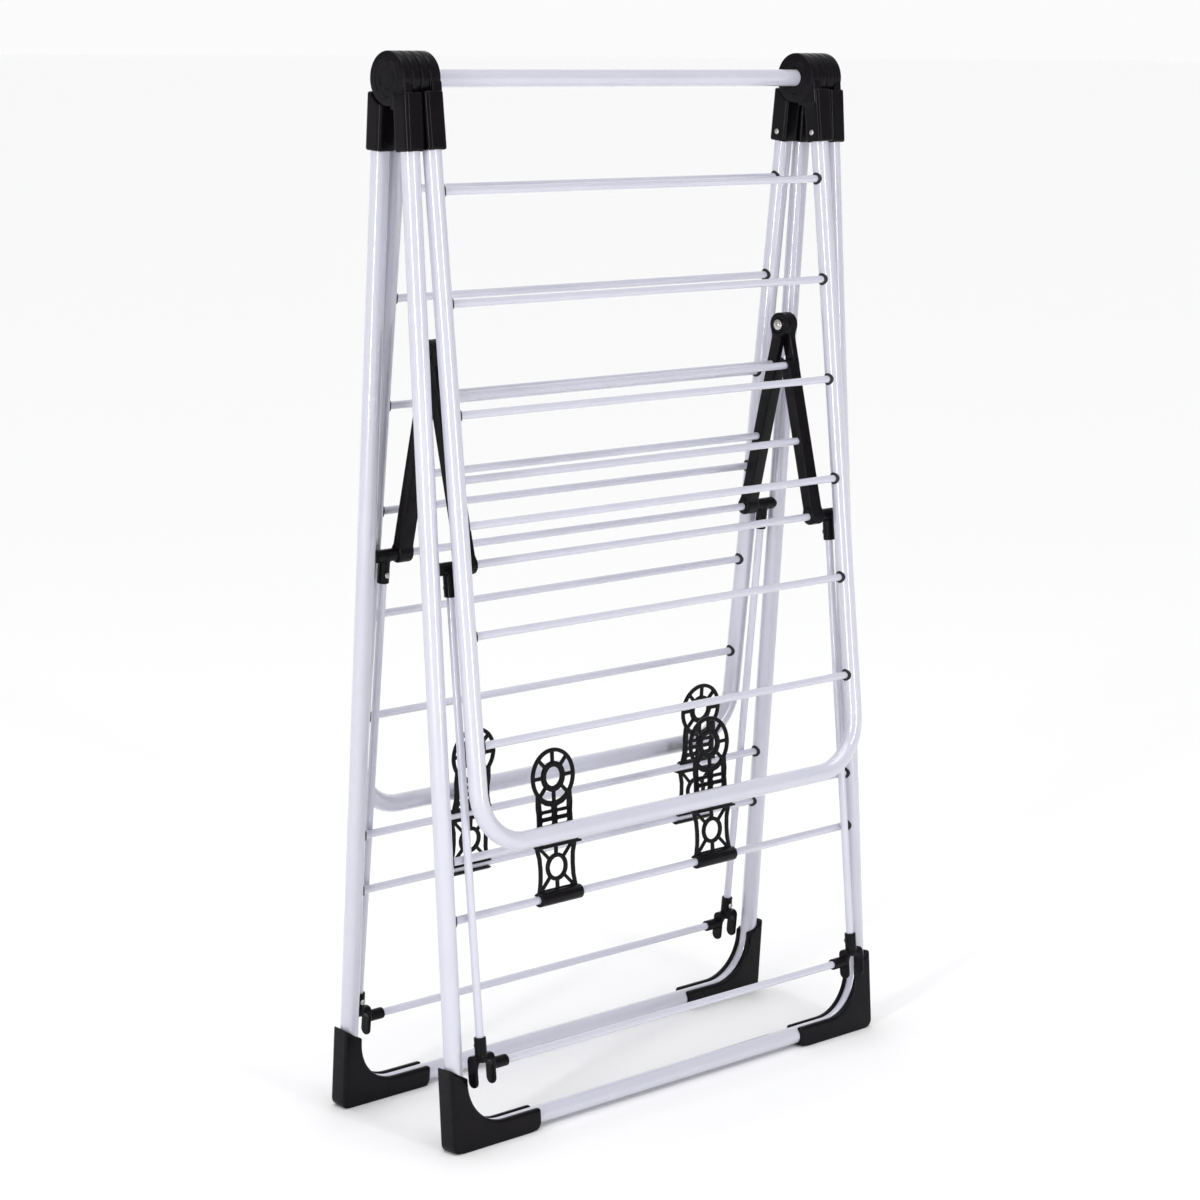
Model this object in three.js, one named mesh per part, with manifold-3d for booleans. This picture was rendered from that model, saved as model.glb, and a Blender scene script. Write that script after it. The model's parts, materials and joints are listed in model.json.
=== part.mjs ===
// Folding clothes drying rack: two U-shaped legs and two U-shaped wings hinged on one top axis,
// a folding shelf between the legs, a swinging prop under each wing, and four shoe holders
// that slide on the legs' low cross rods.
//
// Millimetres. X runs along the top axis, -Y is the front, +Z is up and the floor is Z = 0.
// Each frame has a group at the top axis, turned by its own angle: in there -Z runs down the tubes.
import * as THREE from "three";
import { mergeVertices } from "three/addons/utils/BufferGeometryUtils.js";
import Module from "manifold-3d";

const wasm = await Module();
wasm.setup();

// ---- driving dimensions ----
const AXIS_HEIGHT = 1040; // the top axis, which all four frames turn on
const LEG_ANGLE = 3.889; // degrees from vertical, each side, as the rack stands folded
const WING_ANGLE = 6.2;
const PROP_ANGLE = 5.7;

const TUBE_RADIUS = 9.25;
const TUBE_BORE = 8.6;
const BEND_RADIUS = 56; // of a frame's two bottom corners, to the tube's centre line
const TUBE_TOP = 27; // where a frame tube starts in its socket, from the axis

const LEG_X = 290.5; // tube centres, from the middle
const LEG_OFFSET = 17.7; // tube centres, outwards from the axis
const LEG_END = 1031.6; // bottom bar's centre line, from the axis
const LEG_RODS = { rod_upper: 755.2, rod_lower: 813.8 };
const PIVOT_DOWN = 467.8; // pivot rod, from the axis

const WING_X = 267.3;
const WING_OFFSET = 19.4;
const WING_END = 742;
const WING_RODS = 6;
const WING_ROD_FIRST = 108.2;
const WING_ROD_PITCH = 106.75;

const ROD_RADIUS = 4;
const ROD_BORE = 3.35;
const ROD_ENTRY = 1; // how far a rod's end runs past its tube's centre line
const TOP_ROD_RADIUS = 8.75;
const TOP_ROD_BORE = 7.9;
const AXLE_RADIUS = 5; // the top rod's thin ends, which run through the hinge lobes
const AXLE_BORE = 3.4;

const DISC_RADIUS = 26; // hinge lobes
const SLEEVE_HALF_WIDTH = 11.4; // sleeves are square in section, with cut corners
const SLEEVE_CORNER = 3.2;
const SLEEVE_TOP = 14; // from the axis
const SLEEVE_BOTTOM = 69.5;
const LOBES = {
  front_leg: [290.0, 300.4],
  back_leg: [279.2, 289.6],
  back_wing: [268.1, 278.3],
  front_wing: [255.0, 267.7],
};

const BAR_HEIGHT = 12; // of a leg's bottom bar over the floor, to its centre line
const FOOT_OUTER_X = 302.8;
const FOOT_INNER_X = 188;
const FOOT_HALF_DEPTH = 11.6;
const FOOT_HEIGHT_OUTER = 86;
const FOOT_HEIGHT_INNER = 73;
const FOOT_CORNER = 9;
const FOOT_LIP = 0.2; // how far the channel's edges stand past the tube, inside the bend
const FOOT_SLOT_HALF_WIDTH = 5.6;

const CENTRE_HINGE_Z = 778;
const ARM_IN = 236.5; // a shelf arm's inner and outer faces
const ARM_OUT = 253.5;
const ARM_MIDDLE = (ARM_IN + ARM_OUT) / 2;
const ARM_HALF_WIDTH = 6.6;
const ARM_FOOT_RADIUS = 9;
const ARM_TIP_RADIUS = 13;
const SHELF_RODS = [82.5, 165]; // along an arm, from its pivot
const SHELF_ROD_DEPTH = 9;
const CENTRE_SCREW_RADIUS = 2.4;
const CENTRE_SCREW_HEAD_RADIUS = 4.5;
const CENTRE_SCREW_HEAD_HEIGHT = 3;

const PROP_X = 267.35;
const TEE_IN = 253.8;
const TEE_OUT = 280.9;
const TEE_RADIUS = 6.5;
const STEM_RADIUS = 6.1;
const STEM_LENGTH = 28;
const BRACKET_TOP = 463; // down the prop, from its pivot
const UPRIGHT_END = 481;
const BRIDGE_TOP = 483;
const BRIDGE_BOTTOM = 489;
const BRACKET_END = 512;
const CROSS_ROD_DOWN = 492.5;
const PRONG_THICKNESS = 3;
const PRONG_HALF_DEPTH = 6.5;
const PRONG_IN = 254.4;
const PRONG_OUT = 280.3;
const CROSS_SOCKET_X = 236;
const CROSS_SOCKET_RADIUS = 6;

const SOLE_THICKNESS = 3;
const SOLE_INNER = -3.5; // the sole's inner face, outwards from the rods' centre lines
const SOLE_CENTRES = {
  shoe_holder_front_left: ["front", -143],
  shoe_holder_front_right: ["front", 77],
  shoe_holder_back_left: ["back", -141],
  shoe_holder_back_right: ["back", 188],
};

const GAP = 0.3; // between pieces that touch
const ROUND = 10; // sides of a frame tube
const SMALL_ROUND = 8; // sides of a rod

const SIDES = { front: -1, back: 1 };
const ENDS = { left: -1, right: 1 };
const radians = THREE.MathUtils.degToRad;

// ---- materials ----
const whiteCoat = () => new THREE.MeshStandardMaterial({ color: 0xe3e1ea, roughness: 0.28, metalness: 0.1 });
const blackPlastic = () => new THREE.MeshStandardMaterial({ color: 0x201d22, roughness: 0.5, metalness: 0 });
const zincSteel = () => new THREE.MeshStandardMaterial({ color: 0xb9b9b4, roughness: 0.35, metalness: 0.9 });

// ---- solids ----
function solid(geometry) {
  const bare = geometry.clone();
  bare.deleteAttribute("normal");
  bare.deleteAttribute("uv");
  const merged = mergeVertices(bare, 1e-4);
  return new wasm.Manifold(
    new wasm.Mesh({
      numProp: 3,
      vertProperties: new Float32Array(merged.attributes.position.array),
      triVerts: new Uint32Array(merged.index.array),
    }),
  );
}

function meshOf(name, shape, material) {
  const made = shape.getMesh();
  const geometry = new THREE.BufferGeometry();
  geometry.setAttribute("position", new THREE.BufferAttribute(made.vertProperties, 3));
  geometry.setIndex(new THREE.BufferAttribute(made.triVerts, 1));
  geometry.computeVertexNormals();
  const mesh = new THREE.Mesh(geometry, material);
  mesh.name = name;
  return mesh;
}

function joined(shapes) {
  return shapes.reduce((sum, shape) => sum.add(shape));
}

// A cylinder along X between two stations, whichever way round they are given.
function barX(radius, xA, xB, y, z, sides = SMALL_ROUND) {
  const bar = new THREE.CylinderGeometry(radius, radius, Math.abs(xB - xA), sides);
  return solid(bar.rotateZ(Math.PI / 2).translate((xA + xB) / 2, y, z));
}

function barZ(radius, zLow, zHigh, x, y, sides = ROUND) {
  const bar = new THREE.CylinderGeometry(radius, radius, zHigh - zLow, sides);
  return solid(bar.rotateX(Math.PI / 2).translate(x, y, (zLow + zHigh) / 2));
}

function box(xs, ys, zs) {
  const [width, depth, height] = [xs, ys, zs].map(([a, b]) => Math.abs(b - a));
  const [x, y, z] = [xs, ys, zs].map(([a, b]) => (a + b) / 2);
  return solid(new THREE.BoxGeometry(width, depth, height).translate(x, y, z));
}

// A flat plate: the outline lies in the XZ plane and the plate runs from yA to yB.
function plate(outline, yA, yB) {
  const depth = Math.abs(yB - yA);
  const flat = new THREE.ExtrudeGeometry(outline, { depth, bevelEnabled: false, curveSegments: 8 });
  return solid(flat.rotateX(Math.PI / 2).translate(0, Math.max(yA, yB), 0));
}

function arcPoints(x, z, radius, from, to, steps) {
  const points = [];
  for (let i = 0; i <= steps; i += 1) {
    const angle = radians(from + ((to - from) * i) / steps);
    points.push(new THREE.Vector2(x + radius * Math.cos(angle), z + radius * Math.sin(angle)));
  }
  return points;
}

function ringPoints(radius, sides) {
  return arcPoints(0, 0, radius, 0, 360 * (1 - 1 / sides), sides - 1);
}

// A rod along X with a bore, open at both ends.
function hollowRod(radius, bore, halfLength, y, z, sides = SMALL_ROUND) {
  const outside = barX(radius, -halfLength, halfLength, y, z, sides);
  return outside.subtract(barX(bore, -halfLength - 1, halfLength + 1, y, z, sides));
}

// ---- bent tubes ----
// A path that an extrusion follows through exactly these stations.
class StationPath extends THREE.Curve {
  constructor(points, tangents) {
    super();
    this.points = points;
    this.tangents = tangents;
  }
  getPointAt(u) {
    return this.points[Math.round(u * (this.points.length - 1))].clone();
  }
  getTangentAt(u) {
    return this.tangents[Math.round(u * (this.tangents.length - 1))].clone();
  }
}

// The centre line of a U-shaped frame, from the left tube's top round to the right tube's top.
function framePath(x, y, top, end, bendSteps = 5) {
  const points = [new THREE.Vector3(-x, y, -top)];
  const tangents = [new THREE.Vector3(0, 0, -1)];
  for (const side of [-1, 1]) {
    for (let i = 0; i <= bendSteps; i += 1) {
      const turn = (i / bendSteps + (side > 0 ? 1 : 0)) * (Math.PI / 2);
      const centreX = side * (x - BEND_RADIUS);
      const down = end - BEND_RADIUS + BEND_RADIUS * Math.sin(turn);
      points.push(new THREE.Vector3(centreX - BEND_RADIUS * Math.cos(turn), y, -down));
      tangents.push(new THREE.Vector3(Math.sin(turn), 0, -Math.cos(turn)));
    }
  }
  points.push(new THREE.Vector3(x, y, -top));
  tangents.push(new THREE.Vector3(0, 0, 1));
  return new StationPath(points, tangents);
}

function sweep(path, radius, bore) {
  const section = new THREE.Shape(ringPoints(radius, ROUND));
  if (bore) section.holes.push(new THREE.Path(ringPoints(bore, ROUND)));
  const steps = path.points.length - 1;
  return solid(new THREE.ExtrudeGeometry(section, { steps, extrudePath: path, bevelEnabled: false }));
}

// A U-shaped frame tube with a hole in each upright's inner wall for every cross rod.
function frameTube(x, y, end, rodsDown) {
  let tube = sweep(framePath(x, y, TUBE_TOP, end), TUBE_RADIUS, TUBE_BORE);
  for (const down of rodsDown) {
    tube = tube.subtract(barX(ROD_RADIUS + 2 * GAP, -x, x, y, -down));
  }
  return tube;
}

function crossRod(tubeX, y, down) {
  return hollowRod(ROD_RADIUS, ROD_BORE, tubeX + ROD_ENTRY, y, -down);
}

// ---- hinge sockets ----
// A square sleeve with cut corners round a frame tube, its top edges bevelled.
function sleeveBlock(x, y) {
  const ring = (half, z) => {
    const near = half - SLEEVE_CORNER;
    const corners = [[half, near], [near, half], [-near, half], [-half, near]];
    return corners.flatMap(([dx, dy]) => [[x + dx, y + dy, z], [x + dx, y - dy, z]]);
  };
  const rings = [
    ring(SLEEVE_HALF_WIDTH, -SLEEVE_BOTTOM),
    ring(SLEEVE_HALF_WIDTH, -SLEEVE_TOP - SLEEVE_CORNER),
    ring(SLEEVE_HALF_WIDTH - SLEEVE_CORNER, -SLEEVE_TOP),
  ];
  return wasm.Manifold.hull(rings.flat());
}

// A disc on the top axis with a sleeve that holds the frame tube. The sleeve's top is hollowed
// round the disc of the frame opposite, which turns beside it.
function hingeSocket(frame, partner, end, tubeX, y) {
  const [lobeIn, lobeOut] = LOBES[frame];
  const [partnerIn, partnerOut] = LOBES[partner];
  const disc = barX(DISC_RADIUS, end * lobeIn, end * lobeOut, 0, 0, 20);
  const sleeve = sleeveBlock(end * tubeX, y);
  const partnerSpace = barX(DISC_RADIUS + 2 * GAP, end * (partnerIn - 4), end * (partnerOut + 4), 0, 0, 20);
  const bore = barZ(TUBE_RADIUS + GAP, -SLEEVE_BOTTOM - 1, -TUBE_TOP + GAP, end * tubeX, y);
  // The front leg's lobes end the axle, and the other lobes let it through.
  const axleEnd = frame === "front_leg" ? lobeOut - 1.4 + GAP : lobeOut + 1;
  const axle = barX(AXLE_RADIUS + 2 * GAP, end * (lobeIn - 1), end * axleEnd, 0, 0, 10);
  return sleeve.subtract(partnerSpace).add(disc).subtract(bore).subtract(axle);
}

function topRod() {
  const axleEnd = LOBES.front_leg[1] - 1.4;
  const shoulder = LOBES.front_wing[0] - GAP;
  const outside = barX(TOP_ROD_RADIUS, -shoulder, shoulder, 0, 0, 12);
  const axle = barX(AXLE_RADIUS, -axleEnd, axleEnd, 0, 0);
  const hollow = barX(TOP_ROD_BORE, -shoulder + 6, shoulder - 6, 0, 0, 12);
  const axleHollow = barX(AXLE_BORE, -axleEnd - 1, axleEnd + 1, 0, 0);
  return outside.add(axle).subtract(hollow).subtract(axleHollow);
}

// ---- feet ----
// A channel that wraps a leg's bottom bend, with a slot along the inside of the bend.
function footCap(end, y, frameGroup) {
  const fromFloor = (height) => -LEG_END + height - BAR_HEIGHT;
  const bendX = LEG_X - BEND_RADIUS;
  const bendZ = -LEG_END + BEND_RADIUS;
  const innerRadius = BEND_RADIUS - TUBE_RADIUS - FOOT_LIP;
  const bottom = fromFloor(-8);
  const toMesh = (points) => new THREE.Shape(points.map((p) => new THREE.Vector2(end * p.x, p.y)));
  const outline = toMesh([
    new THREE.Vector2(FOOT_OUTER_X, fromFloor(FOOT_HEIGHT_OUTER)),
    new THREE.Vector2(LEG_X - TUBE_RADIUS - FOOT_LIP, fromFloor(FOOT_HEIGHT_INNER)),
    ...arcPoints(bendX, bendZ, innerRadius, 0, -90, 6),
    ...arcPoints(FOOT_INNER_X + 6, bendZ - innerRadius - 6, 6, 90, 180, 3),
    new THREE.Vector2(FOOT_INNER_X, bottom),
    new THREE.Vector2(FOOT_OUTER_X, bottom),
  ]);
  const corner = toMesh([
    ...arcPoints(FOOT_OUTER_X - FOOT_CORNER, fromFloor(FOOT_CORNER), FOOT_CORNER, -90, 0, 4),
    new THREE.Vector2(FOOT_OUTER_X + 5, fromFloor(FOOT_CORNER)),
    new THREE.Vector2(FOOT_OUTER_X + 5, bottom - 1),
    new THREE.Vector2(FOOT_OUTER_X - FOOT_CORNER, bottom - 1),
  ]);
  const slot = toMesh([
    new THREE.Vector2(LEG_X, bendZ + 60),
    ...arcPoints(bendX, bendZ, BEND_RADIUS, 0, -90, 6),
    new THREE.Vector2(FOOT_INNER_X - 5, bendZ - BEND_RADIUS),
    new THREE.Vector2(FOOT_INNER_X - 5, bendZ - innerRadius + 3),
    ...arcPoints(bendX, bendZ, innerRadius - 3, -90, 0, 6),
    new THREE.Vector2(LEG_X - TUBE_RADIUS - 3, bendZ + 60),
  ]);
  const tubeSpace = sweep(framePath(LEG_X, y, TUBE_TOP, LEG_END), TUBE_RADIUS + GAP);
  const floor = new THREE.BoxGeometry(2000, 2000, 400).translate(0, 0, -200);
  frameGroup.updateMatrixWorld(true);
  floor.applyMatrix4(frameGroup.matrixWorld.clone().invert());
  return plate(outline, y - FOOT_HALF_DEPTH, y + FOOT_HALF_DEPTH)
    .subtract(plate(corner, y - FOOT_HALF_DEPTH - 1, y + FOOT_HALF_DEPTH + 1))
    .subtract(plate(slot, y - FOOT_SLOT_HALF_WIDTH, y + FOOT_SLOT_HALF_WIDTH))
    .subtract(tubeSpace)
    .subtract(solid(floor));
}

// ---- shelf ----
// A half-shelf arm in its own group: the pivot is at Z = 0 and the centre hinge at Z = length.
// Past the last rod an arm is half as thick, so that the two halves lie side by side.
function shelfArm(side, end, length) {
  const lap = side === "front" ? [ARM_MIDDLE + GAP, ARM_OUT] : [ARM_IN, ARM_MIDDLE - GAP];
  const lastRod = SHELF_RODS[SHELF_RODS.length - 1];
  const full = [end * ARM_IN, end * ARM_OUT];
  const half = [end * lap[0], end * lap[1]];
  const shape = joined([
    barX(ARM_FOOT_RADIUS, ...full, 0, 0, 12),
    box(full, [-ARM_HALF_WIDTH, ARM_HALF_WIDTH], [0, lastRod]),
    barX(ARM_HALF_WIDTH, ...full, 0, lastRod, 10),
    box(half, [-ARM_HALF_WIDTH, ARM_HALF_WIDTH], [lastRod, length]),
    barX(ARM_TIP_RADIUS, ...half, 0, length, 14),
  ]);
  const pivotHole = barX(ROD_RADIUS + 2 * GAP, end * (ARM_IN - 1), end * (ARM_OUT + 1), 0, 0);
  let arm = shape.subtract(pivotHole);
  for (const up of SHELF_RODS) {
    const holeEnd = ARM_IN + SHELF_ROD_DEPTH + GAP;
    arm = arm.subtract(barX(ROD_RADIUS + GAP, end * (ARM_IN - 1), end * holeEnd, 0, up));
  }
  if (side === "back") {
    const screwHole = barX(CENTRE_SCREW_RADIUS + GAP, end * (ARM_IN - 1), end * (ARM_MIDDLE + 1), 0, length);
    arm = arm.subtract(screwHole);
  }
  return arm;
}

// A pan-head pivot screw at the centre hinge, its head against the back arm's inner face.
function centreScrew(end, length) {
  const headOut = ARM_IN - GAP;
  const headIn = headOut - CENTRE_SCREW_HEAD_HEIGHT;
  const head = barX(CENTRE_SCREW_HEAD_RADIUS, end * headIn, end * headOut, 0, length, 10);
  return head.add(barX(CENTRE_SCREW_RADIUS, end * (headOut - 1), end * (ARM_MIDDLE - GAP), 0, length));
}

// ---- props ----
// A tee that turns on the pivot rod, with the thin upright that it carries.
function propUpright(end) {
  const stem = barZ(STEM_RADIUS, -STEM_LENGTH, 0, end * PROP_X, 0);
  const tube = barZ(ROD_RADIUS, -UPRIGHT_END, -STEM_LENGTH + 4, end * PROP_X, 0, SMALL_ROUND);
  const tubeHollow = barZ(ROD_BORE, -UPRIGHT_END - 1, -STEM_LENGTH, end * PROP_X, 0, SMALL_ROUND);
  return barX(TEE_RADIUS, end * TEE_IN, end * TEE_OUT, 0, 0, 10)
    .add(stem)
    .subtract(barX(ROD_RADIUS + 2 * GAP, end * (TEE_IN - 1), end * (TEE_OUT + 1), 0, 0))
    .add(tube)
    .subtract(tubeHollow);
}

// The bracket at a prop's end: a socket for the upright, one for the cross rod, and two prongs
// that take a wing's tube between them.
function propBracket(end) {
  const rounded = BRACKET_END - PRONG_HALF_DEPTH;
  const prongs = [
    [PRONG_IN, PRONG_IN + PRONG_THICKNESS],
    [PRONG_OUT - PRONG_THICKNESS, PRONG_OUT],
  ].flatMap(([xIn, xOut]) => [
    box([end * xIn, end * xOut], [-PRONG_HALF_DEPTH, PRONG_HALF_DEPTH], [-rounded, -BRIDGE_TOP]),
    barX(PRONG_HALF_DEPTH, end * xIn, end * xOut, 0, -rounded, 8),
  ]);
  const body = joined([
    barZ(STEM_RADIUS, -BRIDGE_BOTTOM, -BRACKET_TOP, end * PROP_X, 0),
    box(
      [end * PRONG_IN, end * PRONG_OUT],
      [-PRONG_HALF_DEPTH, PRONG_HALF_DEPTH],
      [-BRIDGE_BOTTOM, -BRIDGE_TOP],
    ),
    barX(CROSS_SOCKET_RADIUS, end * CROSS_SOCKET_X, end * (PRONG_IN + 1), 0, -CROSS_ROD_DOWN, 10),
    ...prongs,
  ]);
  const uprightEnd = -UPRIGHT_END - GAP;
  const upright = barZ(ROD_RADIUS + GAP, uprightEnd, -BRACKET_TOP + 1, end * PROP_X, 0, SMALL_ROUND);
  const socketEnd = PRONG_IN - 2 + GAP;
  const rod = barX(ROD_RADIUS + GAP, end * (CROSS_SOCKET_X - 1), end * socketEnd, 0, -CROSS_ROD_DOWN);
  return body.subtract(upright).subtract(rod);
}

// ---- shoe holders ----
const SOLE_TOE = { up: 122, radius: 29, hole: 9.5, ringOuter: 15.5, rimInner: 24.8 };
const SOLE_HEEL = { up: 29, hole: 9.5 };
const SOLE_TOP_RIGHT = [
  [28, -6],
  [28, 6],
  [25, 13],
  [25, 45],
  [29.5, 52],
  [29.5, 62],
  [23.5, 69],
  [23, 86],
];
const SPOKES = 8;
const SPOKE_HALF_ANGLE = 6;
const CLIP_RADIUS = 7.4;
const LEDGE_HALF_WIDTH = 24;
const LEDGE_THICKNESS = 2.6;
const SADDLE_RADIUS = 6.6;
const SADDLE_HALF_WIDTH = 24;
const MOUTH_HALF_HEIGHT = 3.4;
const ROD_CUT_MARGIN = 3; // past the clip's ends, so that it clears the whole sole

function soleOutline(x, z) {
  const at = ([u, up]) => new THREE.Vector2(x + u, z + up);
  const right = SOLE_TOP_RIGHT.map(at);
  const left = SOLE_TOP_RIGHT.map(([u, up]) => at([-u, up])).reverse();
  const toe = arcPoints(x, z + SOLE_TOE.up, SOLE_TOE.radius, -40, 220, 13);
  return new THREE.Shape([...right, ...toe, ...left]);
}

function solePolygon(x, z, corners) {
  return new THREE.Shape(corners.map(([u, up]) => new THREE.Vector2(x + u, z + up)));
}

function soleHoles(x, z) {
  const toeZ = z + SOLE_TOE.up;
  const holes = [
    new THREE.Shape(arcPoints(x, toeZ, SOLE_TOE.hole, 0, 315, 7)),
    new THREE.Shape(arcPoints(x, z + SOLE_HEEL.up, SOLE_HEEL.hole, 0, 315, 7)),
  ];
  for (let i = 0; i < SPOKES; i += 1) {
    const from = (360 / SPOKES) * i + SPOKE_HALF_ANGLE;
    const to = (360 / SPOKES) * (i + 1) - SPOKE_HALF_ANGLE;
    holes.push(
      new THREE.Shape([
        ...arcPoints(x, toeZ, SOLE_TOE.rimInner, from, to, 2),
        ...arcPoints(x, toeZ, SOLE_TOE.ringOuter, to, from, 1),
      ]),
    );
  }
  for (const hand of [-1, 1]) {
    for (const up of [66, 75]) {
      const corners = [[4, up], [17, up], [17, up + 4], [4, up + 4]];
      holes.push(solePolygon(x, z, corners.map(([u, v]) => [hand * u, v])));
    }
    holes.push(solePolygon(x, z, [[hand * 3, 84], [hand * 18, 84], [hand * 14, 92], [hand * 3, 95]]));
    holes.push(solePolygon(x, z, [[hand * 17, 14], [hand * 21.5, 14], [hand * 21.5, 44], [hand * 17, 44]]));
    for (const end of [-1, 1]) {
      const corners = [[2, 15], [13, 15], [13, 9], [2, 12.5]];
      holes.push(solePolygon(x, z, corners.map(([u, up]) => [hand * u, SOLE_HEEL.up + end * up])));
    }
  }
  return holes;
}

// A lattice sole just inside a leg's two low rods: it clips round the lower rod, and a saddle
// carries it round the outside of the upper one, over a ledge.
function shoeHolder(side, x, y) {
  const outwards = SIDES[side];
  const zLower = -LEG_RODS.rod_lower;
  const zUpper = -LEG_RODS.rod_upper;
  const at = (offset) => y + outwards * offset;
  const [inner, outer] = [at(SOLE_INNER), at(SOLE_INNER + SOLE_THICKNESS)];
  let sole = plate(soleOutline(x, zLower), inner, outer);
  for (const hole of soleHoles(x, zLower)) {
    sole = sole.subtract(plate(hole, at(SOLE_INNER - 1), at(SOLE_INNER + SOLE_THICKNESS + 1)));
  }
  const half = SOLE_TOP_RIGHT[0][0];
  const width = [x - half - ROD_CUT_MARGIN, x + half + ROD_CUT_MARGIN];
  const ledgeTop = zUpper - ROD_RADIUS - GAP;
  const ledgeX = [x - LEDGE_HALF_WIDTH, x + LEDGE_HALF_WIDTH];
  const saddleX = [x - SADDLE_HALF_WIDTH, x + SADDLE_HALF_WIDTH];
  const inside = box(saddleX, [inner, at(-20)], [zUpper - 10, zUpper + 10]);
  const holder = joined([
    sole,
    barX(CLIP_RADIUS, x - half, x + half, y, zLower, 12),
    barX(SADDLE_RADIUS, ...saddleX, y, zUpper, 12).subtract(inside),
    box(ledgeX, [inner, at(SADDLE_RADIUS - 1)], [ledgeTop - LEDGE_THICKNESS, ledgeTop]),
  ]);
  return [zLower, zUpper].reduce((shape, z) => {
    const mouth = box(width, [y, at(-9)], [z - MOUTH_HALF_HEIGHT, z + MOUTH_HALF_HEIGHT]);
    return shape.subtract(barX(ROD_RADIUS + GAP, ...width, y, z)).subtract(mouth);
  }, holder);
}

// ---- assembly ----
function frameGroup(side, angle) {
  const group = new THREE.Group();
  group.position.set(0, 0, AXIS_HEIGHT);
  group.rotation.x = SIDES[side] * radians(angle);
  return group;
}

function addSockets(group, frame, partner, tubeX, y) {
  for (const [endName, end] of Object.entries(ENDS)) {
    const name = `${frame}_socket_${endName}`;
    group.add(meshOf(name, hingeSocket(frame, partner, end, tubeX, y), blackPlastic()));
  }
}

function addLeg(rack, side) {
  const frame = `${side}_leg`;
  const partner = side === "front" ? "back_leg" : "front_leg";
  const group = frameGroup(side, LEG_ANGLE);
  const y = SIDES[side] * LEG_OFFSET;
  const rods = { ...LEG_RODS, pivot_rod: PIVOT_DOWN };
  group.add(meshOf(`${frame}_frame`, frameTube(LEG_X, y, LEG_END, Object.values(rods)), whiteCoat()));
  for (const [rodName, down] of Object.entries(rods)) {
    group.add(meshOf(`${frame}_${rodName}`, crossRod(LEG_X, y, down), whiteCoat()));
  }
  addSockets(group, frame, partner, LEG_X, y);
  for (const [endName, end] of Object.entries(ENDS)) {
    group.add(meshOf(`${frame}_foot_${endName}`, footCap(end, y, group), blackPlastic()));
  }
  for (const [name, [holderSide, x]] of Object.entries(SOLE_CENTRES)) {
    if (holderSide === side) group.add(meshOf(name, shoeHolder(side, x, y), blackPlastic()));
  }
  group.add(pivotGroup(side, y));
  rack.add(group);
}

// The pivot rod's own group, upright again, which the shelf half and the prop hang from.
function pivotGroup(side, y) {
  const pivot = new THREE.Group();
  pivot.position.set(0, y, -PIVOT_DOWN);
  const turn = SIDES[side] * radians(LEG_ANGLE);
  pivot.rotation.x = -turn;
  const place = new THREE.Vector2(y, -PIVOT_DOWN).rotateAround(new THREE.Vector2(), turn);
  const rise = CENTRE_HINGE_Z - AXIS_HEIGHT - place.y;
  const length = Math.hypot(place.x, rise);

  const shelf = new THREE.Group();
  shelf.rotation.x = Math.atan2(place.x, rise);
  SHELF_RODS.forEach((up, i) => {
    const rod = hollowRod(ROD_RADIUS, ROD_BORE, ARM_IN + SHELF_ROD_DEPTH, 0, up);
    shelf.add(meshOf(`${side}_shelf_rod_${i + 1}`, rod, whiteCoat()));
  });

  const prop = new THREE.Group();
  prop.rotation.x = SIDES[side] * radians(PROP_ANGLE);
  const crossHalf = PRONG_IN - 2;
  const cross = hollowRod(ROD_RADIUS, ROD_BORE, crossHalf, 0, -CROSS_ROD_DOWN);
  prop.add(meshOf(`${side}_prop_cross_rod`, cross, whiteCoat()));

  for (const [endName, end] of Object.entries(ENDS)) {
    shelf.add(meshOf(`${side}_shelf_arm_${endName}`, shelfArm(side, end, length), blackPlastic()));
    if (side === "back") {
      shelf.add(meshOf(`centre_hinge_screw_${endName}`, centreScrew(end, length), zincSteel()));
    }
    prop.add(meshOf(`${side}_prop_upright_${endName}`, propUpright(end), whiteCoat()));
    prop.add(meshOf(`${side}_prop_bracket_${endName}`, propBracket(end), blackPlastic()));
  }
  pivot.add(shelf, prop);
  return pivot;
}

function addWing(rack, side) {
  const frame = `${side}_wing`;
  const partner = side === "front" ? "back_wing" : "front_wing";
  const group = frameGroup(side, WING_ANGLE);
  const y = SIDES[side] * WING_OFFSET;
  const downs = Array.from({ length: WING_RODS }, (_, i) => WING_ROD_FIRST + i * WING_ROD_PITCH);
  group.add(meshOf(`${frame}_frame`, frameTube(WING_X, y, WING_END, downs), whiteCoat()));
  downs.forEach((down, i) => {
    group.add(meshOf(`${frame}_rod_${i + 1}`, crossRod(WING_X, y, down), whiteCoat()));
  });
  addSockets(group, frame, partner, WING_X, y);
  rack.add(group);
}

const rack = new THREE.Group();
for (const side of Object.keys(SIDES)) {
  addLeg(rack, side);
  addWing(rack, side);
}
const rod = meshOf("top_rod", topRod(), whiteCoat());
rod.position.z = AXIS_HEIGHT;
rack.add(rod);

export default rack;
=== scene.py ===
"""Folding clothes drying rack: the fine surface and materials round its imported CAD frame.

Shapes are worked out in millimetres in each frame's own upright coordinates: x along the top
axis, o outwards from the rack's middle plane, w up along the frame's tubes. They are made once,
for the back right, and mirrored to the other places.
"""
import json
import math

import bpy
import numpy as np
from mathutils import Matrix, Vector


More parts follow.
